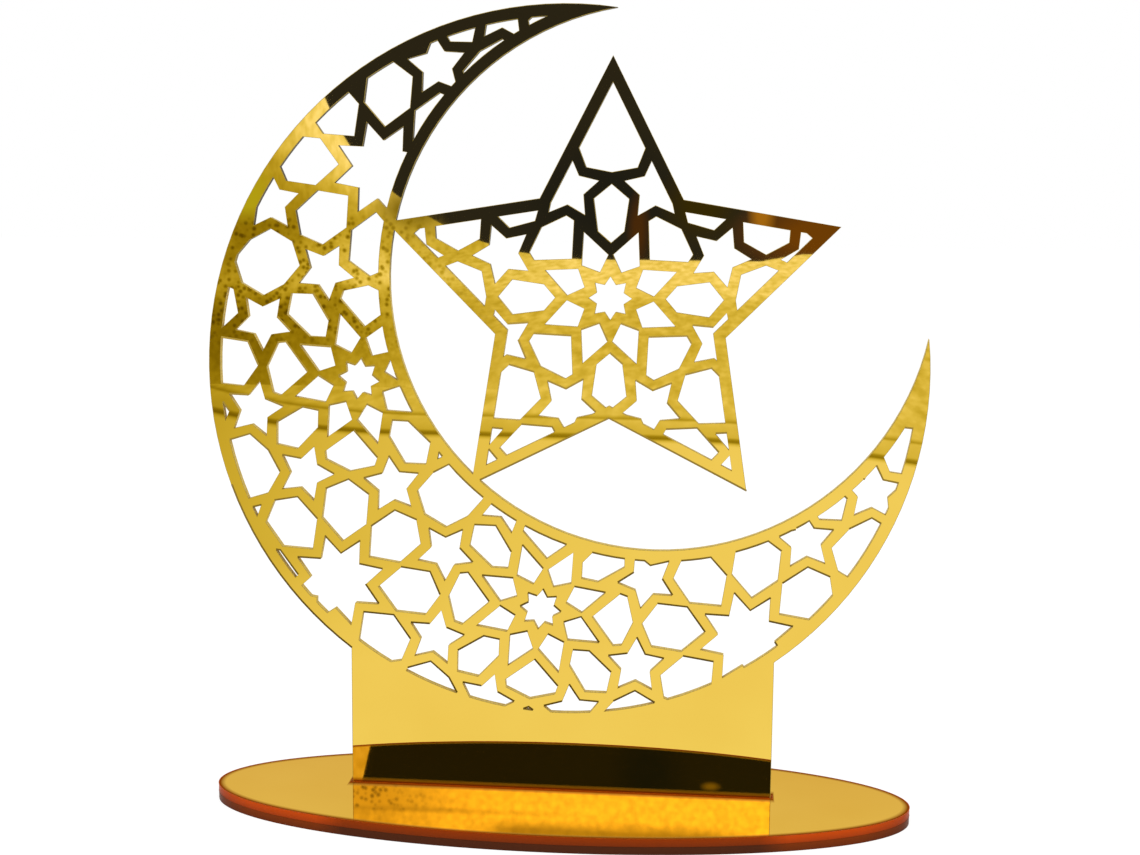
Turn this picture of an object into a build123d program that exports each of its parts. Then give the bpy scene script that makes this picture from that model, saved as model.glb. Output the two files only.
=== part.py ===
"""Crescent and star table ornament: a fretwork sheet that stands in a slotted oval base.

Three flat pieces cut from one thickness of mirror sheet. The upright panel holds a crescent and
a five-pointed star, both pierced with an eightfold girih lattice, above a solid plinth. The plinth
ends in a tongue that drops through the slot of the base top plate and stands on the bottom plate.

Frame: millimetres, +Z up, front towards -Y, origin on the underside at the middle of the base.
"""
from build123d import *
import os
from cmath import rect
from math import ceil, cos, radians, sin, sqrt

# Sheet stock that every piece is cut from
sheet_thickness = 2.0

# Base: two oval plates glued together, and the crescent stands out a little past both their ends
base_depth = 61.0
crescent_overhang = 1.15

# Slot of the base top plate: how far it lies behind the middle, and the room round the tongue in it
slot_setback = 2.4
slot_side_clearance = 0.1
slot_end_clearance = 0.6

# Plinth: the solid foot of the panel
plinth_width = 108.0

# Crescent: a disc less a round hollow, which leaves a band and two sharp horns at its mouth
crescent_radius = 90.0
crescent_rise = 107.7
band_width = 55.75
mouth_width = 110.1
mouth_direction = 44.3

# Star: one point straight up, and its two left points run this far into the crescent
star_points = 5
star_tip_radius = 58.7
star_notch_radius = 30.0
star_bite = 2.2

# Fretwork: plain rims, even straps, and no opening too small to cut
crescent_rim = 2.85
star_rim = 2.85
strap_width = 2.45
smallest_opening = 0.9

# Lattice: the pitch runs from a rosette to the next eight-pointed star
crescent_pitch = 52.5
crescent_turn = -6.4
rosette_radius = 60.43
rosette_direction = -95.0
star_pitch = 53.7
star_turn = 45.0

# Sizes that follow from those above
base_width = 2 * (crescent_radius - crescent_overhang)
base_top = 2 * sheet_thickness
crescent_level = base_top + crescent_rise


def polar(radius, degrees):
    """Point of the panel at a radius and an angle: a complex number, counted from the middle of the disc."""
    return rect(radius, radians(degrees))


def star_corners(points, tip_radius, notch_radius, first_tip, centre=0):
    """Corners of a star, tip and notch in turn."""
    step = 180 / points
    radii = [tip_radius, notch_radius] * points
    return [centre + polar(radius, first_tip + n * step) for n, radius in enumerate(radii)]


def mirrored(half, line_point, line_degrees):
    """Whole tile from one half, whose first and last corners lie on the mirror line."""
    turn = polar(1, 2 * line_degrees)
    return half + [line_point + turn * (p - line_point).conjugate() for p in reversed(half[1:-1])]


# Girih tiles of one repeat, drawn to the centre lines of the straps, with the pitch as the unit.
# A rosette stands at 0, an eight-pointed star at 1, and the third corner of the repeat at 0.5 + 0.5j.
rosette_star = star_corners(8, 0.142, 0.095, 0)
rosette_kite = [polar(0.097, 22.5), polar(0.206, -4.8), polar(0.381, 22.5), polar(0.206, 49.8)]
axis_petal = mirrored([0.221, 0.363 - 0.155j, 0.428 - 0.140j, 0.477], 0, 0)
diagonal_petal = mirrored([0.158 + 0.158j, 0.266 + 0.150j, 0.402 + 0.253j, 0.389 + 0.389j], 0, 45)
five_point_star = star_corners(5, 0.192, 0.0995, 48.7, 0.492 + 0.214j)
eight_point_star = star_corners(8, 0.281, 0.167, 22.5, 1)
axis_hexagon = mirrored([0.468, 0.542 - 0.130j, 0.710 - 0.134j, 0.832], 0, 0)
diagonal_hexagon = mirrored([0.629 + 0.371j, 0.589 + 0.235j, 0.700 + 0.109j, 0.883 + 0.117j], 1, 135)
octagon = mirrored([0.389 + 0.389j, 0.501 + 0.312j, 0.631 + 0.369j, 0.688 + 0.499j, 0.611 + 0.611j], 0, 45)
tiles = [
    rosette_star,
    rosette_kite,
    axis_petal,
    diagonal_petal,
    five_point_star,
    eight_point_star,
    axis_hexagon,
    diagonal_hexagon,
    octagon,
]


def inset(corners, distance):
    """Polygon with every side moved in by a distance; its corners run anticlockwise."""
    result = []
    for before, corner, after in zip(corners[-1:] + corners[:-1], corners, corners[1:] + corners[:1]):
        way_in = (corner - before) / abs(corner - before)
        way_out = (after - corner) / abs(after - corner)
        bend = (way_in * way_out.conjugate()).real
        result.append(corner + 1j * distance * (way_in + way_out) / (1 + bend))
    return result


def lattice(pitch, turn, first_rosette):
    """Openings all over the disc, by turning and mirroring the tiles of one repeat about each rosette."""
    reach = crescent_radius + pitch / 2
    far = ceil((reach + abs(first_rosette)) / pitch)
    span = range(-far, far + 1)
    rosettes = [complex(column, row) for column in span for row in span if (column + row) % 2 == 0]
    openings = {}
    for rosette in rosettes:
        for tile in tiles:
            for corners in (tile, [p.conjugate() for p in reversed(tile)]):
                for quarter in range(4):
                    turned = [rosette + p * 1j**quarter for p in corners]
                    placed = [first_rosette + polar(pitch, turn) * p for p in turned]
                    middle = sum(placed) / len(placed)
                    # Tiles on a mirror line come up twice, and share the same middle
                    if abs(middle) < reach:
                        openings[round(middle.real, 1), round(middle.imag, 1)] = inset(placed, strap_width / 2)
    return list(openings.values())


def polygon(corners):
    """Face with straight sides between corners."""
    return make_face(Polyline([(p.real, p.imag) for p in corners], close=True))


def fretwork(window, openings):
    """Openings cut off at a window, less the slivers along its rim."""
    faces = [polygon(corners) for corners in openings]
    with BuildSketch() as cut:
        add(faces)
        add(window, mode=Mode.INTERSECT)
    return cut.faces().filter_by(lambda face: face.area > smallest_opening**2)


# The hollow's circle runs through both horn tips and leaves the band opposite the mouth
mouth_chord = sqrt(crescent_radius**2 - (mouth_width / 2) ** 2)
band_inside = crescent_radius - band_width
hollow_push = (crescent_radius**2 - band_inside**2) / (2 * (band_inside + mouth_chord))
hollow_radius = band_inside + hollow_push
hollow_centre = polar(hollow_push, mouth_direction)

with BuildSketch() as crescent_window:
    Circle(crescent_radius - crescent_rim)
    with Locations((hollow_centre.real, hollow_centre.imag)):
        Circle(hollow_radius + crescent_rim, mode=Mode.SUBTRACT)

# The star is pushed off the hollow's centre, midway between its two left points, until both bite
star_step = 360 / star_points
half_step = radians(star_step / 2)
star_push = sqrt((hollow_radius + star_bite) ** 2 - (star_tip_radius * sin(half_step)) ** 2)
star_push -= star_tip_radius * cos(half_step)
star_centre = hollow_centre + polar(star_push, 90 + 1.5 * star_step)
star_outline = star_corners(star_points, star_tip_radius, star_notch_radius, 90, star_centre)
star_face = polygon(star_outline)
star_window = polygon(inset(star_outline, star_rim))

# The star's upper point has no strap above its octagon: one tall light fills the point
octagon_middle = star_centre + polar(star_pitch * abs(0.5 + 0.5j), 90)
top_light = [octagon_middle - star_notch_radius, octagon_middle + star_notch_radius, star_outline[0]]

crescent_lattice = lattice(crescent_pitch, crescent_turn, polar(rosette_radius, rosette_direction))
star_lattice = lattice(star_pitch, star_turn, star_centre)
crescent_openings = fretwork(crescent_window.sketch, crescent_lattice)
star_openings = fretwork(star_window, star_lattice + [top_light])

# Upright panel: crescent, star and plinth as one pierced sheet, with the tongue at its foot
with BuildPart() as crescent_panel:
    with BuildSketch(Plane((0, slot_setback, crescent_level), x_dir=(1, 0, 0), z_dir=(0, -1, 0))):
        Circle(crescent_radius)
        with Locations((hollow_centre.real, hollow_centre.imag)):
            Circle(hollow_radius, mode=Mode.SUBTRACT)
        add(star_face)
        plinth_top = -sqrt(crescent_radius**2 - (plinth_width / 2) ** 2)
        tongue_foot = -(crescent_rise + sheet_thickness)
        with Locations((0, plinth_top)):
            Rectangle(plinth_width, plinth_top - tongue_foot, align=(Align.CENTER, Align.MAX))
        add(crescent_openings + star_openings, mode=Mode.SUBTRACT)
    extrude(amount=sheet_thickness / 2, both=True)
crescent_panel.part.label = "crescent_panel"

# Lower oval plate, which closes the slot and carries the panel
with BuildPart() as base_bottom_plate:
    with BuildSketch():
        Ellipse(base_width / 2, base_depth / 2)
    extrude(amount=sheet_thickness)
base_bottom_plate.part.label = "base_bottom_plate"

# Upper oval plate, slotted for the tongue
with BuildPart() as base_top_plate:
    with BuildSketch(Plane.XY.offset(sheet_thickness)):
        Ellipse(base_width / 2, base_depth / 2)
        slot_length = plinth_width + 2 * slot_end_clearance
        slot_breadth = sheet_thickness + 2 * slot_side_clearance
        with Locations((0, slot_setback)):
            Rectangle(slot_length, slot_breadth, mode=Mode.SUBTRACT)
    extrude(amount=sheet_thickness)
base_top_plate.part.label = "base_top_plate"

os.makedirs("parts", exist_ok=True)
export_step(crescent_panel.part, "parts/crescent_panel.step")
export_step(base_bottom_plate.part, "parts/base_bottom_plate.step")
export_step(base_top_plate.part, "parts/base_top_plate.step")
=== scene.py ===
from math import cos, pi, radians, sin, tan

import bmesh
import bpy
from mathutils import Euler, Matrix, Vector


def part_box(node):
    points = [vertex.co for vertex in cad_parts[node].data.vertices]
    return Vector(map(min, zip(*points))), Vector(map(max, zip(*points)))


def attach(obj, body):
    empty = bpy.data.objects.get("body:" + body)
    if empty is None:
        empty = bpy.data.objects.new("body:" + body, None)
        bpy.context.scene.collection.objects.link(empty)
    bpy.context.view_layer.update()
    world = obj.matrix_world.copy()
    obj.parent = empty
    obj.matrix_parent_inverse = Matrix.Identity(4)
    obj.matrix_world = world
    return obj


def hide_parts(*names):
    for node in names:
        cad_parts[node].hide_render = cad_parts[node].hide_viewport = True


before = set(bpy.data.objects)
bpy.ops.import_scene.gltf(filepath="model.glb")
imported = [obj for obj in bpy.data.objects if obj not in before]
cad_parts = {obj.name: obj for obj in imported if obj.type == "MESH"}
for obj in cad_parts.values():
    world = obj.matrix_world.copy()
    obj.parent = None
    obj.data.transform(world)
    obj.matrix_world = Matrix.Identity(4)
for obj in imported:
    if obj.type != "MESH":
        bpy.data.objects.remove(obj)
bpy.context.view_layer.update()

# Base bottom plate: an oval of 2 mm gold mirror acrylic, glued under the slotted plate, and the foot of
# the ornament. Little light gets into its cut edge, where the tinted stock shows a dark red-brown.
plate_facing = Vector((0, 0, 1))
plate_low, plate_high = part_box("base_bottom_plate")
plate_half = plate_high.x
plate_half_depth = plate_high.y
sheet_thickness = plate_high.z - plate_low.z
bottom_lip_radius = 0.00006
bottom_edge_shaded = (80, 39, 20)
bottom_edge_lit = (124, 52, 12)
no_shade = Vector((0, 0, 0))


def linear(red, green, blue):
    """Linear colour, with full alpha, of a display colour from 0 to 255, by the standard display curve."""
    shares = [value / 255 for value in (red, green, blue)]
    return [s / 12.92 if s <= 0.04045 else ((s + 0.055) / 1.055) ** 2.4 for s in shares] + [1.0]


def add_node(tree, kind, inputs=None, **settings):
    """New node of a tree, with its settings, and with its inputs set to values or linked to sockets."""
    node = tree.nodes.new(kind)
    for name, value in settings.items():
        setattr(node, name, value)
    for socket, value in (inputs or {}).items():
        if isinstance(value, bpy.types.NodeSocket):
            tree.links.new(value, node.inputs[socket])
        else:
            node.inputs[socket].default_value = value
    return node


def maths(tree, operation, first, second=0.0):
    """Result of an operation on one or two numbers."""
    return add_node(tree, "ShaderNodeMath", {0: first, 1: second}, operation=operation).outputs["Value"]


def vector_maths(tree, operation, first, second=(0, 0, 0), output="Vector"):
    """Result of an operation on one or two vectors."""
    node = add_node(tree, "ShaderNodeVectorMath", {0: first, 1: second}, operation=operation)
    return node.outputs[output]


def split(tree, place):
    """X, Y and Z of a place."""
    return add_node(tree, "ShaderNodeSeparateXYZ", {"Vector": place}).outputs


def product(tree, first, *others):
    """Numbers multiplied together."""
    for other in others:
        first = maths(tree, "MULTIPLY", first, other)
    return first


def new_material(name):
    """Material with a principled surface: its tree, its shader and its object coordinates."""
    material = bpy.data.materials.new(name)
    material.use_nodes = True
    shader = material.node_tree.nodes["Principled BSDF"]
    place = add_node(material.node_tree, "ShaderNodeTexCoord").outputs["Object"]
    return material, material.node_tree, shader, place


def scaled(tree, place, size, stretch=(1, 1, 1)):
    """Place counted in grains of a size in metres, drawn out by a stretch on each axis."""
    scale = [1 / (size * s) for s in stretch]
    return add_node(tree, "ShaderNodeMapping", {"Vector": place, "Scale": scale}).outputs["Vector"]


def noise(tree, place, size, stretch=(1, 1, 1)):
    """Soft noise from 0 to 1, in grains of a size in metres."""
    grains = {"Vector": scaled(tree, place, size, stretch), "Scale": 1.0}
    return add_node(tree, "ShaderNodeTexNoise", grains).outputs["Fac"]


def ramp(tree, share, stops):
    """Colours along a share from 0 to 1, one for each stop."""
    node = add_node(tree, "ShaderNodeValToRGB", {"Fac": share})
    while len(node.color_ramp.elements) < len(stops):
        node.color_ramp.elements.new(1.0)
    for element, (position, colour) in zip(node.color_ramp.elements, stops):
        element.position = position
        element.color = colour
    return node.outputs["Color"]


# Most of a soft noise lies in this span
noise_span = (0.3, 0.7)


def mottled(tree, share, first, second, span=noise_span):
    """Colour that goes from one display colour to another with a noise, over a span of that noise."""
    start, end = span
    return ramp(tree, share, [(start, linear(*first)), (end, linear(*second))])


def spread(tree, value, low, high, start=0.0, end=1.0):
    """Value from start to end, spread over a range from low to high and held at both ends."""
    inputs = {"Value": value, "From Min": start, "From Max": end, "To Min": low, "To Max": high}
    return add_node(tree, "ShaderNodeMapRange", inputs).outputs["Result"]


def rise(tree, value, start, end):
    """0 up to a start, then rising to 1 at an end."""
    return spread(tree, value, 0.0, 1.0, start, end)


def fall(tree, value, start, end):
    """1 up to a start, then falling to 0 at an end."""
    return spread(tree, value, 1.0, 0.0, start, end)


def blend(tree, share, first, second):
    """Colour between two colours."""
    inputs = {0: share, 6: first, 7: second}
    return add_node(tree, "ShaderNodeMix", inputs, data_type="RGBA").outputs[2]


def add_bump(tree, shader, height, strength, distance, normal=None):
    """Fine relief on a shader, on its own normal or on a given one."""
    relief = {"Height": height, "Strength": strength, "Distance": distance}
    if normal:
        relief["Normal"] = normal
    tree.links.new(add_node(tree, "ShaderNodeBump", relief).outputs["Normal"], shader.inputs["Normal"])


gold_dull = (240, 201, 85)
gold_bright = (244, 207, 91)
gold_grazing_tint = (0.59, 0.4, 0.42, 1.0)
# Painted light: the orange-brown glow of a cut edge, painted into the mirror along it
painted_edge_glow = (136, 66, 6)
edge_glow_zone = (0.0004, 0.0019)
edge_glow_metal = 0.35


def gold_mirror(name, lean=0.0, edge_of=None):
    """Gold mirror: a clean reflection with a slow ripple, leaning forward by an angle in degrees.

    Where edge_of tells how far the cut edge is, a narrow zone of painted edge glow, partly matt, runs along it:
    painted light, the glow of the tinted cut edge spread into the face.
    """
    material, tree, shader, place = new_material(name)
    shader.inputs["Metallic"].default_value = 1.0
    shader.inputs["Specular IOR Level"].default_value = 0.0
    shader.inputs["Specular Tint"].default_value = gold_grazing_tint
    gold = mottled(tree, noise(tree, place, size=0.03), gold_dull, gold_bright)
    if edge_of:
        near = fall(tree, edge_of(tree, place), *edge_glow_zone)
        gold = blend(tree, near, gold, linear(*painted_edge_glow))
        tree.links.new(spread(tree, near, 1.0, edge_glow_metal), shader.inputs["Metallic"])
    tree.links.new(gold, shader.inputs["Base Color"])
    haze = spread(tree, noise(tree, place, size=0.0006), low=0.01, high=0.017)
    tree.links.new(haze, shader.inputs["Roughness"])
    flat = add_node(tree, "ShaderNodeNewGeometry").outputs["Normal"]
    leaning = vector_maths(tree, "ADD", flat, (0, 0, -tan(radians(lean))))
    leaning = vector_maths(tree, "NORMALIZE", leaning)
    ripple = noise(tree, place, size=0.012)
    add_bump(tree, shader, ripple, strength=0.1, distance=0.00002, normal=leaning)
    return material


paint_dull = (128, 131, 134)
paint_bright = (140, 143, 146)
paint_span = (0.35, 0.65)


def back_paint():
    """Grey protective paint on the back of the mirror, with a fine orange-peel skin."""
    material, tree, shader, place = new_material("back_paint")
    greys = mottled(tree, noise(tree, place, size=0.02), paint_dull, paint_bright, paint_span)
    tree.links.new(greys, shader.inputs["Base Color"])
    shader.inputs["Roughness"].default_value = 0.5
    add_bump(tree, shader, noise(tree, place, size=0.0008), strength=0.25, distance=0.0001)
    return material


streak_size = 0.0003
facing_span = (0.0, 0.4)


def cut_edge(name, pale, deep, stretch, fade=None, toward=None):
    """Laser-cut edge of tinted acrylic, with fine striations that run through the thickness.

    Where fade gives two heights and a colour, the edge turns to that colour from one height to the other:
    all of it, or only the walls that look toward a direction.
    """
    material, tree, shader, place = new_material(name)
    streaks = noise(tree, place, streak_size, stretch)
    colour = mottled(tree, streaks, deep, pale)
    if fade:
        foot, top, faded = fade
        share = rise(tree, split(tree, place)["Z"], foot, top)
        if toward:
            normal = add_node(tree, "ShaderNodeNewGeometry").outputs["Normal"]
            facing = vector_maths(tree, "DOT_PRODUCT", normal, toward, "Value")
            share = product(tree, share, rise(tree, facing, *facing_span))
        colour = blend(tree, share, colour, linear(*faded))
    tree.links.new(colour, shader.inputs["Base Color"])
    finish_edge(tree, shader, streaks)
    return material


def finish_edge(tree, shader, streaks):
    """Satin skin of a cut edge."""
    shader.inputs["Roughness"].default_value = 0.35
    shader.inputs["IOR"].default_value = 1.49
    shader.inputs["Specular IOR Level"].default_value = 0.03
    add_bump(tree, shader, streaks, strength=0.2, distance=0.00003)


# Shares of the way from the middle of a plate to its end or its rim
edge_shade_end = 0.57
edge_light = (0.65, 0.86)
edge_tip = 0.98
slot_to_rim = (0.8, 0.9)

# Painted shade: each ply of a plate darkens to this brown towards its foot
edge_foot_shade = (70, 36, 22)
edge_foot_shade_share = 0.45
plate_streaks = (1, 1, 20)


def plate_edge(name, foot, shaded, lit, painted_slot_light=None):
    """Cut edge of a base plate. Light comes through the plate past both ends of the slot, not before it.

    The walls of the slot, if it has one, shine in a bright colour of their own: painted light, piped in through
    the stock, where the slot would lie in shade.
    """
    material, tree, shader, place = new_material(name)
    axes = split(tree, place)
    across = maths(tree, "DIVIDE", maths(tree, "ABSOLUTE", axes["X"]), plate_half)
    # Painted light along the edge: shaded before the slot, lit past its ends, and half lit at the tips
    half_lit_tip = [(a + b) / 2 for a, b in zip(shaded, lit)]
    light_start, light_end = edge_light
    stops = [
        (edge_shade_end, linear(*shaded)),
        (light_start, linear(*lit)),
        (light_end, linear(*lit)),
        (edge_tip, linear(*half_lit_tip)),
    ]
    # Painted shade towards the foot of the ply
    foot_shade = spread(tree, axes["Z"], edge_foot_shade_share, 0.0, foot, foot + sheet_thickness)
    colour = blend(tree, foot_shade, ramp(tree, across, stops), linear(*edge_foot_shade))
    # Painted light inside the slot
    if painted_slot_light:
        share = vector_maths(tree, "MULTIPLY", place, (1 / plate_half, 1 / plate_half_depth, 0))
        inside = fall(tree, vector_maths(tree, "LENGTH", share, output="Value"), *slot_to_rim)
        colour = blend(tree, inside, colour, linear(*painted_slot_light))
    tree.links.new(colour, shader.inputs["Base Color"])
    finish_edge(tree, shader, noise(tree, place, streak_size, plate_streaks))
    return material


bead_sides = 8
pressed_share = 0.8
sharp_angle = radians(60)
level_run = 0.00001
shade_turn = 0.6
face_turn = 0.5


def cut_sheet_tree():
    """Geometry Nodes that finish a cut sheet: mirror, painted back, cut walls, and a fine line on outlines.

    Outlines below Shade Top whose wall looks the way of Shade From get a wider, darker line: painted shade
    along those outlines, where the cut edge also shows through.
    """
    tree = bpy.data.node_groups.new("cut_sheet", "GeometryNodeTree")
    for name, kind in (
        ("Sheet", "Geometry"),
        ("Facing", "Vector"),
        ("Face", "Float"),
        ("Lip Radius", "Float"),
        ("Shade Radius", "Float"),
        ("Shade From", "Vector"),
        ("Shade Top", "Float"),
        ("Mirror", "Material"),
        ("Paint", "Material"),
        ("Wall", "Material"),
        ("Lip", "Material"),
        ("Shade", "Material"),
    ):
        tree.interface.new_socket(name, in_out="INPUT", socket_type="NodeSocket" + kind)
    tree.interface.new_socket("Sheet", in_out="OUTPUT", socket_type="NodeSocketGeometry")
    given = add_node(tree, "NodeGroupInput").outputs

    def compare(value, operation, limit):
        node = add_node(tree, "FunctionNodeCompare", {"A": value, "B": limit}, operation=operation)
        return node.outputs["Result"]

    def both(first, second, operation="AND"):
        node = add_node(tree, "FunctionNodeBooleanMath", {0: first, 1: second}, operation=operation)
        return node.outputs["Boolean"]

    def times(vector, factor):
        node = add_node(tree, "ShaderNodeVectorMath", {0: vector, "Scale": factor}, operation="SCALE")
        return node.outputs["Vector"]

    def painted(geometry, material, selection=True):
        inputs = {"Geometry": geometry, "Selection": selection, "Material": material}
        return add_node(tree, "GeometryNodeSetMaterial", inputs).outputs["Geometry"]

    def edge_line(selection, radius, material, shift):
        """Bead swept along the chosen edges, shifted by shares of its radius and pressed almost flat."""
        chosen = {"Mesh": given["Sheet"], "Selection": selection}
        path = add_node(tree, "GeometryNodeMeshToCurve", chosen).outputs["Curve"]
        circle = {"Resolution": bead_sides, "Radius": radius}
        ring = add_node(tree, "GeometryNodeCurvePrimitiveCircle", circle).outputs["Curve"]
        swept = {"Curve": path, "Profile Curve": ring, "Fill Caps": True}
        bead = add_node(tree, "GeometryNodeCurveToMesh", swept).outputs["Mesh"]
        place = add_node(tree, "GeometryNodeInputPosition").outputs["Position"]
        beyond = vector_maths(tree, "DOT_PRODUCT", place, given["Facing"], "Value")
        press = maths(tree, "MULTIPLY", maths(tree, "SUBTRACT", given["Face"], beyond), pressed_share)
        moved = vector_maths(tree, "ADD", times(given["Facing"], press), times(shift, radius))
        bead = add_node(tree, "GeometryNodeSetPosition", {"Geometry": bead, "Offset": moved})
        return painted(bead.outputs["Geometry"], material)

    # Outlines of the mirror face: sharp edges that lie in the face and not through the thickness
    angle = add_node(tree, "GeometryNodeInputMeshEdgeAngle").outputs["Unsigned Angle"]
    ends = add_node(tree, "GeometryNodeInputMeshEdgeVertices").outputs
    run = vector_maths(tree, "SUBTRACT", ends["Position 1"], ends["Position 2"])
    through = maths(tree, "ABSOLUTE", vector_maths(tree, "DOT_PRODUCT", run, given["Facing"], "Value"))
    level = vector_maths(tree, "DOT_PRODUCT", ends["Position 1"], given["Facing"], "Value")
    middle = maths(tree, "SUBTRACT", given["Face"], sheet_thickness / 2)
    in_face = both(compare(through, "LESS_THAN", level_run), compare(level, "GREATER_THAN", middle))
    outline = both(compare(angle, "GREATER_THAN", sharp_angle), in_face)

    # Of those, the low edges of a wall that looks the way of the shade
    normal = add_node(tree, "GeometryNodeInputNormal").outputs["Normal"]
    toward = vector_maths(tree, "DOT_PRODUCT", normal, given["Shade From"], "Value")
    looks = compare(toward, "GREATER_THAN", shade_turn)
    wall = add_node(tree, "GeometryNodeFieldOnDomain", {"Value": looks}, data_type="BOOLEAN", domain="FACE")
    low = compare(split(tree, ends["Position 1"])["Z"], "LESS_THAN", given["Shade Top"])
    shaded = both(both(outline, low), wall.outputs["Value"])
    inward = times(given["Shade From"], -1.0)
    lip = edge_line(both(outline, shaded, "NIMPLY"), given["Lip Radius"], given["Lip"], (0, 0, 0))
    shade = edge_line(shaded, given["Shade Radius"], given["Shade"], inward)

    turned = vector_maths(tree, "DOT_PRODUCT", normal, given["Facing"], "Value")
    sheet = painted(given["Sheet"], given["Wall"])
    sheet = painted(sheet, given["Mirror"], compare(turned, "GREATER_THAN", face_turn))
    sheet = painted(sheet, given["Paint"], compare(turned, "LESS_THAN", -face_turn))
    join = add_node(tree, "GeometryNodeJoinGeometry")
    for part in (sheet, lip, shade):
        tree.links.new(part, join.inputs["Geometry"])
    whole = add_node(tree, "GeometryNodeRealizeInstances", {"Geometry": join.outputs["Geometry"]})
    add_node(tree, "NodeGroupOutput", {"Sheet": whole.outputs["Geometry"]})
    return tree


merge_distance = 0.000001
smooth_angle = radians(40)


def cut_sheet(name, node, body, inputs):
    """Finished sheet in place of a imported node: a merged copy of its mesh, run through the cut_sheet tree."""
    mesh = bpy.data.meshes.new(name)
    shell = bmesh.new()
    shell.from_mesh(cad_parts[node].data)
    bmesh.ops.remove_doubles(shell, verts=shell.verts, dist=merge_distance)
    shell.to_mesh(mesh)
    shell.free()
    mesh.attributes.remove(mesh.attributes["custom_normal"])
    piece = bpy.data.objects.new(name, mesh)
    bpy.context.scene.collection.objects.link(piece)
    modifier = piece.modifiers.new("cut_sheet", "NODES")
    modifier.node_group = sheet_tree
    low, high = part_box(node)
    values = {"Face": max(low.dot(inputs["Facing"]), high.dot(inputs["Facing"])), "Paint": paint, **inputs}
    for socket in sheet_tree.interface.items_tree:
        if socket.in_out == "INPUT" and socket.name in values:
            modifier[socket.identifier] = values[socket.name]
    finished = bpy.data.meshes.new_from_object(piece.evaluated_get(bpy.context.evaluated_depsgraph_get()))
    piece.modifiers.remove(modifier)
    piece.data = finished
    finished.name = name
    finished.shade_smooth()
    finished.set_sharp_from_angle(angle=smooth_angle)
    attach(piece, body)
    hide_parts(node)


paint = back_paint()
sheet_tree = cut_sheet_tree()
bottom_edge = plate_edge("bottom_plate_edge", plate_low.z, bottom_edge_shaded, bottom_edge_lit)
bottom_inputs = {
    "Facing": plate_facing,
    "Lip Radius": bottom_lip_radius,
    "Shade Radius": bottom_lip_radius,
    "Shade From": no_shade,
    "Shade Top": 0.0,
    "Mirror": gold_mirror("bottom_plate_mirror"),
    "Wall": bottom_edge,
    "Lip": bottom_edge,
    "Shade": bottom_edge,
}
cut_sheet("bottom_plate_sheet", "base_bottom_plate", "base", bottom_inputs)

# Base top plate: an oval of the same sheet, laid mirror up, with the slot that the panel drops into.
# Its cut edge gathers the light of the whole plate, so it shows a deep orange.
panel_low, panel_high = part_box("crescent_panel")
slot_half_length = 0.0546
slot_side_clearance = 0.0001
slot_half_breadth = sheet_thickness / 2 + slot_side_clearance
slot_setback = (panel_low.y + panel_high.y) / 2
slot_side_share = 0.6
slot_end_share = 4.0
# Painted light on the slot walls: a bright orange that lifts the slot's shade
painted_slot_light = (255, 170, 70)
top_lip_radius = 0.00009
top_edge_shaded = (146, 54, 3)
top_edge_lit = (200, 73, 8)


def plate_edge_distance(tree, place):
    """Distance from a point of the top plate to its oval rim or to its slot, whichever counts as nearer.

    The slot's long sides count as nearer than they are, and its ends as further, for the painted edge glow
    beside them.
    """
    halves = (1 / plate_half, 1 / plate_half_depth, 0)
    share = vector_maths(tree, "MULTIPLY", place, halves)
    slope = vector_maths(tree, "LENGTH", vector_maths(tree, "MULTIPLY", share, halves), output="Value")
    room = maths(tree, "SUBTRACT", 1.0, vector_maths(tree, "DOT_PRODUCT", share, share, "Value"))
    rim = maths(tree, "DIVIDE", room, maths(tree, "MULTIPLY", slope, 2.0))
    axes = split(tree, place)
    past_end = maths(tree, "SUBTRACT", maths(tree, "ABSOLUTE", axes["X"]), slot_half_length)
    behind = maths(tree, "ABSOLUTE", maths(tree, "SUBTRACT", axes["Y"], slot_setback))
    past_side = maths(tree, "SUBTRACT", behind, slot_half_breadth)
    past_end = maths(tree, "MULTIPLY", past_end, slot_end_share)
    past_side = maths(tree, "MULTIPLY", past_side, slot_side_share)
    return maths(tree, "MINIMUM", rim, maths(tree, "MAXIMUM", past_end, past_side))


top_lip = cut_edge("top_plate_lip", pale=(200, 94, 14), deep=(160, 66, 8), stretch=plate_streaks)
top_inputs = {
    "Facing": plate_facing,
    "Lip Radius": top_lip_radius,
    "Shade Radius": top_lip_radius,
    "Shade From": no_shade,
    "Shade Top": 0.0,
    "Mirror": gold_mirror("top_plate_mirror", edge_of=plate_edge_distance),
    "Wall": plate_edge("top_plate_edge", plate_high.z, top_edge_shaded, top_edge_lit, painted_slot_light),
    "Lip": top_lip,
    "Shade": top_lip,
}
cut_sheet("top_plate_sheet", "base_top_plate", "base", top_inputs)

# Crescent panel: one upright sheet, laser cut into a crescent, a star and a solid plinth. The mirror faces
# the viewer, and grey paint covers its back. Its foot stands loose in the slot of the base, so the sheet
# leans forward by a hair, which shows only in what it reflects.
panel_facing = Vector((0, -1, 0))
panel_lean = 1.39
panel_streaks = (1, 20, 1)
panel_lip_radius = 0.00006
shade_radius = 0.00024
shade_from = Vector((-0.3, 0, -0.95))
shade_top = 0.125
shade_fade = (0.05, 0.12, (172, 144, 60))
# Painted reflection: walls high up that look toward wall_seen_from turn dark brown, where the mirror shows the
# dark board
wall_dark_reflection = (0.13, 0.145, (80, 66, 30))
wall_seen_from = (0.75, 0.0, -0.66)

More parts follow.
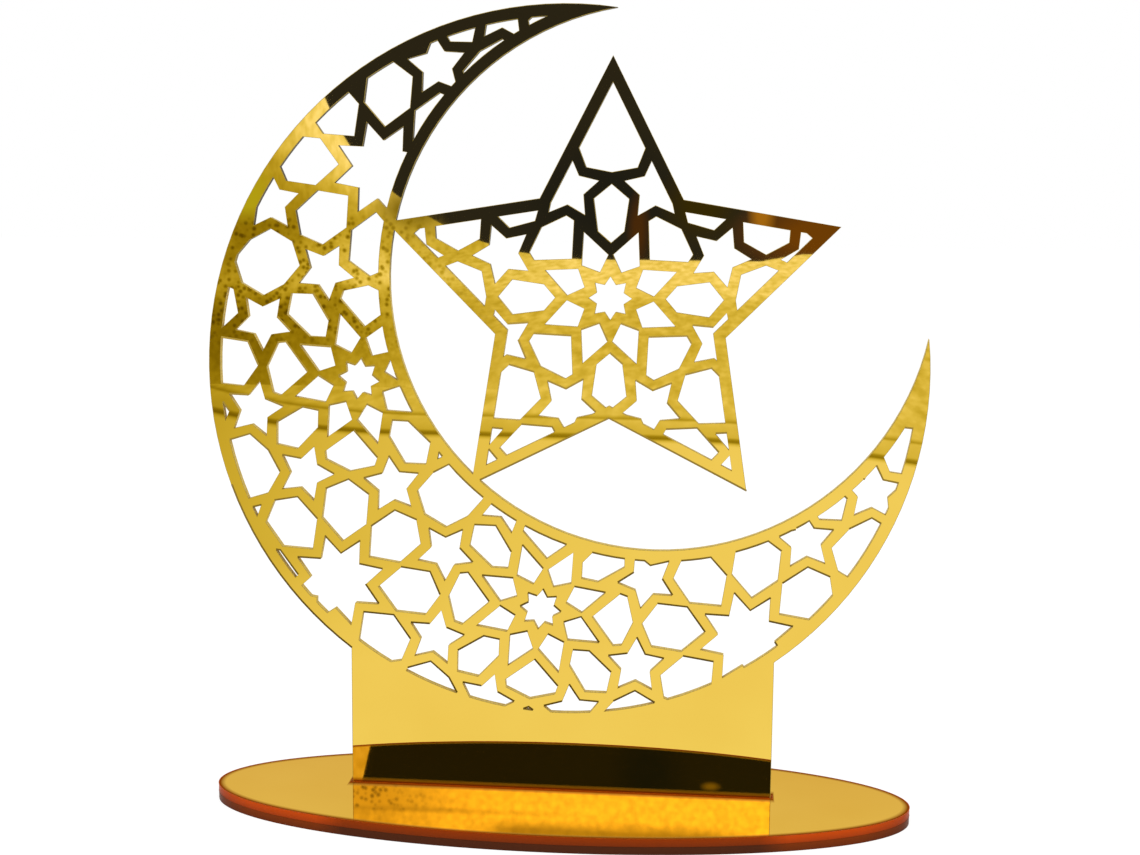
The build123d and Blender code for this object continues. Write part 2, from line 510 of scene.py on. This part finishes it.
# The gold of the cut walls is a painted reflection of the mirror, seen through the clear stock
panel_wall = cut_edge(
    "panel_wall",
    pale=(212, 184, 92),
    deep=(192, 164, 74),
    stretch=panel_streaks,
    fade=wall_dark_reflection,
    toward=wall_seen_from,
)
panel_lip = cut_edge("panel_lip", pale=(176, 152, 68), deep=(150, 128, 50), stretch=panel_streaks)
panel_shade = cut_edge(
    "panel_shade",
    pale=(108, 86, 20),
    deep=(80, 62, 12),
    stretch=panel_streaks,
    fade=shade_fade,
)
panel_inputs = {
    "Facing": panel_facing,
    "Lip Radius": panel_lip_radius,
    "Shade Radius": shade_radius,
    "Shade From": shade_from,
    "Shade Top": shade_top,
    "Mirror": gold_mirror("panel_mirror", panel_lean),
    "Wall": panel_wall,
    "Lip": panel_lip,
    "Shade": panel_shade,
}
cut_sheet("panel_sheet", "crescent_panel", "panel", panel_inputs)

# Floor: a plain white sweep. The camera and the mirrors see it lit to white, less the ornament's soft shadow.
floor_half = 4.0
floor_shadow_share = 0.3
floor_glow_level = 1.16


def grey(level):
    """Grey of a level, from black at 0 to white at 1."""
    return (level, level, level, 1.0)


def box_outline(left, right, foot, top):
    """Corners of a rectangle, in order."""
    return [(left, foot), (right, foot), (right, top), (left, top)]


def card(name, corners, material):
    """Flat stage card from its corners in order."""
    mesh = bpy.data.meshes.new(name)
    mesh.from_pydata(corners, [], [range(len(corners))])
    mesh.materials.append(material)
    board = bpy.data.objects.new(name, mesh)
    bpy.context.scene.collection.objects.link(board)
    return board


def seen_ray(tree):
    """1 for rays that look at the background: from the camera, a mirror or anything clear."""
    path = add_node(tree, "ShaderNodeLightPath").outputs
    first = maths(tree, "MAXIMUM", path["Is Camera Ray"], path["Is Glossy Ray"])
    return maths(tree, "MAXIMUM", first, path["Is Transmission Ray"])


floor_white, floor_nodes, floor_shader, _ = new_material("floor_white")
floor_shader.inputs["Base Color"].default_value = grey(0.95)
floor_shader.inputs["Roughness"].default_value = 0.9
floor_glow = add_node(floor_nodes, "ShaderNodeEmission", {"Strength": floor_glow_level})
floor_share = spread(floor_nodes, seen_ray(floor_nodes), 0.0, 1.0 - floor_shadow_share)
floor_mix = {0: floor_share, 1: floor_shader.outputs["BSDF"], 2: floor_glow.outputs["Emission"]}
floor_surface = add_node(floor_nodes, "ShaderNodeMixShader", floor_mix).outputs["Shader"]
floor_nodes.links.new(floor_surface, floor_nodes.nodes["Material Output"].inputs["Surface"])
floor_corners = [(x, y, 0) for x, y in box_outline(-floor_half, floor_half, -floor_half, floor_half)]
card("floor", floor_corners, floor_white)

# Table card: what lies before the ornament, beyond the camera, for the mirrors alone to see. A white table
# top, dimmer to the left, turns into pale cloth behind two dark lines, which bend at both ends. The cards
# that follow stand on it or above it.
table_far = 1.6
table_half = 2.0
table_level = 0.0005
table_lines = [(0.467, 1.0), (0.473, 0.25), (0.48, 0.27), (0.486, 0.74), (0.527, 0.85), (0.53, 0.45)]
table_cloth = [(0.535, 0.45), (0.539, 0.84), (0.8, 0.74), (1.08, 0.78), (1.2, 1.05)]
table_white = 0.98
table_dimmest = 0.3
dim_from = (0.1, 0.23)
dim_fan_depth = 0.41
cloth_from = (0.48, 0.6)
cloth_threads = (1, 4, 1)
cloth_left = (0.12, 0.27)
cloth_left_level = 0.6


def square_past(tree, value, start, factor):
    """Square of how far a value goes past a start, times a factor, and 0 before it."""
    past = maths(tree, "MAXIMUM", maths(tree, "SUBTRACT", value, start), 0.0)
    return product(tree, past, past, factor)


def uneven(tree, place, size, low, high, stretch=(1, 1, 1)):
    """Level that wanders between low and high, in grains of a size in metres."""
    return spread(tree, noise(tree, place, size, stretch), low, high, *noise_span)


def warm(tree, level):
    """Light of a level that turns yellow as it dims."""
    powers = {"Red": 0.88, "Green": 1.0, "Blue": 3.0}
    channels = {name: maths(tree, "POWER", level, power) for name, power in powers.items()}
    return add_node(tree, "ShaderNodeCombineColor", channels).outputs["Color"]


def mirror_card(name, corners, glow_of, cover_of=None):
    """Card that only the mirrors see. It glows with a colour worked out from the place on it.

    Where cover_of gives a share, the rest of the card is clear.
    """
    material = bpy.data.materials.new(name)
    material.use_nodes = True
    tree = material.node_tree
    tree.nodes.remove(tree.nodes["Principled BSDF"])
    place = add_node(tree, "ShaderNodeTexCoord").outputs["Object"]
    glow = add_node(tree, "ShaderNodeEmission", {"Color": glow_of(tree, place), "Strength": 1.0})
    surface = glow.outputs["Emission"]
    if cover_of:
        clear = add_node(tree, "ShaderNodeBsdfTransparent").outputs["BSDF"]
        surface = add_node(tree, "ShaderNodeMixShader", {0: cover_of(tree, place), 1: clear, 2: surface})
        surface = surface.outputs["Shader"]
    tree.links.new(surface, tree.nodes["Material Output"].inputs["Surface"])
    board = card(name, corners, material)
    board.visible_camera = False
    board.visible_diffuse = False
    board.visible_shadow = False


def table_glow(tree, place):
    """White, then the two lines, then cloth, along a run that starts under the ornament.

    The white dims to the left in a fan, whose point lies behind the ornament.
    """
    axes = split(tree, place)
    left = maths(tree, "MULTIPLY", axes["X"], -1.0)
    right_bend = square_past(tree, axes["X"], start=0.0, factor=2.5)
    left_bend = square_past(tree, left, start=0.13, factor=3.5)
    run = maths(tree, "SUBTRACT", maths(tree, "SUBTRACT", right_bend, left_bend), axes["Y"])
    stops = [(distance / table_far, grey(level)) for distance, level in table_lines + table_cloth]
    along = ramp(tree, maths(tree, "DIVIDE", run, table_far), stops)
    aside = maths(tree, "DIVIDE", left, maths(tree, "ADD", run, dim_fan_depth))
    dimming = square_past(tree, aside, start=-0.1, factor=2.7)
    dimming = product(tree, dimming, rise(tree, run, *dim_from))
    white = maths(tree, "MAXIMUM", maths(tree, "SUBTRACT", table_white, dimming), table_dimmest)
    cloth = uneven(tree, place, size=0.008, low=0.76, high=1.16, stretch=cloth_threads)
    cloth = product(tree, cloth, spread(tree, left, 1.0, cloth_left_level, *cloth_left))
    level = blend(tree, rise(tree, run, *cloth_from), white, cloth)
    return warm(tree, product(tree, along, level))


table_corners = [(x, -y, table_level) for x, y in box_outline(-table_half, table_half, 0, table_far)]
mirror_card("table", table_corners, table_glow)

# Screen card: dim gold light in uneven rows under dark dots, on the left of the table. It fades out on its
# right and at its top.
screen_distance = 0.62
screen_sides = (-0.6, 0.1)
screen_top = 0.13
screen_rows = [
    (0.0, 1.0),
    (0.016, 0.8),
    (0.042, 0.56),
    (0.054, 0.75),
    (0.067, 1.3),
    (0.08, 1.1),
    (0.092, 0.74),
]
row_wobble = 0.012
screen_levels = (0.3, 0.74)
screen_dim = (-0.245, -0.155)
screen_dot = 0.0036
screen_dots_from = (0.02, 0.04)
screen_slant = 0.6
screen_right_fade = (-0.13, -0.065)
screen_top_fade = (0.1, 0.112)
dot_rim = (0.2, 0.5)


def dots(tree, place, size):
    """Dark dots on white, a size apart: from 0 in the middle of a dot to 1 between them."""
    cells = {"Vector": scaled(tree, place, size), "Scale": 1.0, "Randomness": 1.0}
    away = add_node(tree, "ShaderNodeTexVoronoi", cells).outputs["Distance"]
    return rise(tree, away, *dot_rim)


def screen_glow(tree, place):
    """Rows of light, darker to the left, under dots that begin above the lowest row."""
    axes = split(tree, place)
    across = spread(tree, axes["X"], *screen_levels, *screen_dim)
    wobble = uneven(tree, place, size=0.03, low=-row_wobble, high=row_wobble)
    stops = [(height / screen_top, grey(level)) for height, level in screen_rows]
    rows = ramp(tree, maths(tree, "DIVIDE", maths(tree, "ADD", axes["Z"], wobble), screen_top), stops)
    spots = spread(tree, dots(tree, place, screen_dot), low=0.4, high=1.2)
    spots = blend(tree, rise(tree, axes["Z"], *screen_dots_from), grey(1.0), spots)
    grain = uneven(tree, place, size=0.004, low=0.85, high=1.15)
    return warm(tree, product(tree, across, rows, spots, grain))


def screen_cover(tree, place):
    """Share of the screen that hides what is behind it: it fades out to its right and at its top."""
    axes = split(tree, place)
    slant = maths(tree, "ADD", axes["X"], maths(tree, "MULTIPLY", axes["Z"], screen_slant))
    left = fall(tree, slant, *screen_right_fade)
    return product(tree, left, fall(tree, axes["Z"], *screen_top_fade))


def upright(distance, outline):
    """Corners of an upright card, at a distance before the ornament."""
    return [(x, -distance, z) for x, z in outline]


screen_outline = box_outline(*screen_sides, 0, screen_top)
mirror_card("dotted_screen", upright(screen_distance, screen_outline), screen_glow, screen_cover)

# Board card: a dark board at the far edge of the table, with a rounded lower left corner, a step in its
# left edge further up, and a foot that lifts a little on the right. Soft patches of colour lie on it.
board_distance = 1.5
board_left = -0.425
board_right = 0.7
board_top = 0.8
board_corner = (0.31, 0.25)
corner_steps = 12
board_step = [(-0.41, 0.76), (-0.366, 0.575), (board_left, 0.5)]
board_foot = [(0.08, 0), (0.13, 0.009), (board_right, 0.009)]
board_low_glow = (0.025, 0.0275, 0.07, 1.0)
board_high_glow = (0.023, 0.032, 0.1, 1.0)
board_turns_high = (0.3, 0.6)
board_patches = [
    ((-0.1, 0.07), (0.13, 0.09), (0.0154, 0.0193, 0.066, 1.0)),
    ((0.15, 0.03), (0.11, 0.05), (0.17, 0.075, 0.015, 1.0)),
    ((0.083, 0.055), (0.017, 0.04), (0.41, 0.22, 0.05, 1.0)),
    ((-0.055, 0.035), (0.015, 0.05), (0.07, 0.035, 0.03, 1.0)),
    ((0.015, 0.065), (0.05, 0.05), (0.039, 0.035, 0.012, 1.0)),
    ((-0.035, 0.62), (0.05, 0.06), (0.0143, 0.0246, 0.15, 1.0)),
    ((0.04, 0.634), (0.014, 0.007), (0.27, 0.27, 0.15, 1.0)),
]
patch_fade = (0.3, 1.0)


def patch(tree, place, glow, middle, reach, colour):
    """Glow of an upright card with a soft oval patch of another colour."""
    away = vector_maths(tree, "SUBTRACT", place, (middle[0], 0, middle[1]))
    away = vector_maths(tree, "MULTIPLY", away, (1 / reach[0], 0, 1 / reach[1]))
    near = fall(tree, vector_maths(tree, "LENGTH", away, output="Value"), *patch_fade)
    return blend(tree, near, glow, colour)


def board_glow(tree, place):
    """Near black, with soft patches low down and high in the middle."""
    high = rise(tree, split(tree, place)["Z"], *board_turns_high)
    glow = blend(tree, high, board_low_glow, board_high_glow)
    for middle, reach, colour in board_patches:
        glow = patch(tree, place, glow, middle, reach, colour)
    return glow


corner_turns = [pi + pi / 2 * step / corner_steps for step in range(corner_steps + 1)]
corner = [(board_left + board_corner[0] * (1 + cos(a)), board_corner[1] * (1 + sin(a))) for a in corner_turns]
board_outline = corner + board_foot + [(board_right, board_top)] + board_step
mirror_card("dark_board", upright(board_distance, board_outline), board_glow)

# Light card: a bright strip that hangs before the board. Its left end has dots and a streak, and the
# middle of its top is dimmer.
light_distance = 1.49
light_half = 1
light_foot = 0.455
light_top = 0.56
light_left = (-0.36, -0.22)
light_left_level = 0.6
light_streak = 0.507
streak_share = 0.4
streak_breadth = (0.001, 0.005)
streak_end = (-0.3, -0.05)
light_dot = 0.007
light_dots_right = (-0.36, -0.26)
light_dots_top = (0.503, 0.512)
light_dim_level = 0.45
light_dim_share = 0.8
light_dim_foot = (0.512, 0.526)
light_dim_left = (-0.25, -0.19)
light_dim_right = (0.04, 0.1)


def light_glow(tree, place):
    """Bright strip with dots and a streak at its left end, and dimmer along the middle of its top."""
    axes = split(tree, place)
    bright = uneven(tree, place, size=0.008, low=1.55, high=2.2)
    bright = product(tree, bright, spread(tree, axes["X"], light_left_level, 1.0, *light_left))
    beside = maths(tree, "ABSOLUTE", maths(tree, "SUBTRACT", axes["Z"], light_streak))
    streak = spread(tree, beside, streak_share, 0.0, *streak_breadth)
    streak = product(tree, streak, fall(tree, axes["X"], *streak_end))
    bright = product(tree, bright, maths(tree, "SUBTRACT", 1.0, streak))
    left = fall(tree, axes["X"], *light_dots_right)
    low = fall(tree, axes["Z"], *light_dots_top)
    spots = spread(tree, dots(tree, place, light_dot), low=0.35, high=1.15)
    level = blend(tree, product(tree, left, low), bright, spots)
    top = spread(tree, axes["Z"], 0.0, light_dim_share, *light_dim_foot)
    inside = product(tree, rise(tree, axes["X"], *light_dim_left), top)
    inside = product(tree, fall(tree, axes["X"], *light_dim_right), inside)
    return blend(tree, inside, level, grey(light_dim_level))


light_outline = box_outline(-light_half, light_half, light_foot, light_top)
mirror_card("soft_light", upright(light_distance, light_outline), light_glow)

# Wall card: a pale wall that ends the view. It dims towards its foot on the left, where a green patch and a
# brown one lie.
wall_slant = 0.9
wall_levels = (0.55, 1.12)
wall_dim = (-0.41, -0.32)
wall_foot_level = 0.6
wall_foot = (0.02, 0.11)
wall_grain = (1, 1, 2)
wall_patches = [
    ((-0.535, 0.062), (0.045, 0.05), (0.5, 0.56, 0.06, 1.0)),
    ((-0.333, 0.045), (0.055, 0.042), (0.26, 0.23, 0.04, 1.0)),
]


def wall_glow(tree, place):
    """Pale light, dim towards the foot on the left, with a green patch and a brown one there."""
    axes = split(tree, place)
    slant = maths(tree, "ADD", axes["X"], maths(tree, "MULTIPLY", axes["Z"], wall_slant))
    level = spread(tree, slant, *wall_levels, *wall_dim)
    level = product(tree, level, spread(tree, axes["Z"], wall_foot_level, 1.0, *wall_foot))
    grain = uneven(tree, place, size=0.008, low=0.8, high=1.15, stretch=wall_grain)
    glow = warm(tree, product(tree, level, grain))
    for middle, reach, colour in wall_patches:
        glow = patch(tree, place, glow, middle, reach, colour)
    return glow


wall_outline = box_outline(-table_half, table_half, 0, board_top)
mirror_card("pale_wall", upright(table_far, wall_outline), wall_glow)

# Lamps: a white world and two broad lamps, one on each side
lamp_power = 4.0
lamp_size = 0.8
lamp_places = [(-0.7, -0.6, 0.9), (0.8, -0.4, 0.8)]
world_fill = 0.7

for number, place in enumerate(lamp_places):
    lamp = bpy.data.lights.new(f"lamp_{number}", "AREA")
    lamp.energy = lamp_power
    lamp.size = lamp_size
    holder = bpy.data.objects.new(f"lamp_{number}", lamp)
    holder.location = place
    holder.rotation_euler = (-Vector(place)).to_track_quat("-Z", "Y").to_euler()
    holder.visible_camera = False
    holder.visible_glossy = False
    bpy.context.scene.collection.objects.link(holder)

world = bpy.data.worlds.new("white_room")
world.use_nodes = True
sky = world.node_tree.nodes["Background"]
sky.inputs["Color"].default_value = grey(1.0)
sky_level = spread(world.node_tree, seen_ray(world.node_tree), world_fill, 1.0)
world.node_tree.links.new(sky_level, sky.inputs["Strength"])
bpy.context.scene.world = world
bpy.context.scene.view_settings.view_transform = "Standard"

# Camera: a little to the right of the ornament and above its middle, as in the photograph
view_target = Vector((0.00187, 0.0014, 0.0984))
view_distance = 0.4231
view_yaw = 5.02
view_pitch = 8.21
view_roll = 0.54
view_lens = 53.5

aim = Euler((radians(90 - view_pitch), 0, radians(view_yaw))).to_matrix()
turn = aim @ Matrix.Rotation(radians(view_roll), 3, "Z")
camera = bpy.data.objects.new("camera", bpy.data.cameras.new("camera"))
camera.data.lens = view_lens
camera.data.sensor_width = 36.0
camera.data.clip_start = 0.01
camera.matrix_world = Matrix.Translation(view_target + turn @ Vector((0, 0, view_distance))) @ turn.to_4x4()
bpy.context.scene.collection.objects.link(camera)
bpy.context.scene.camera = camera
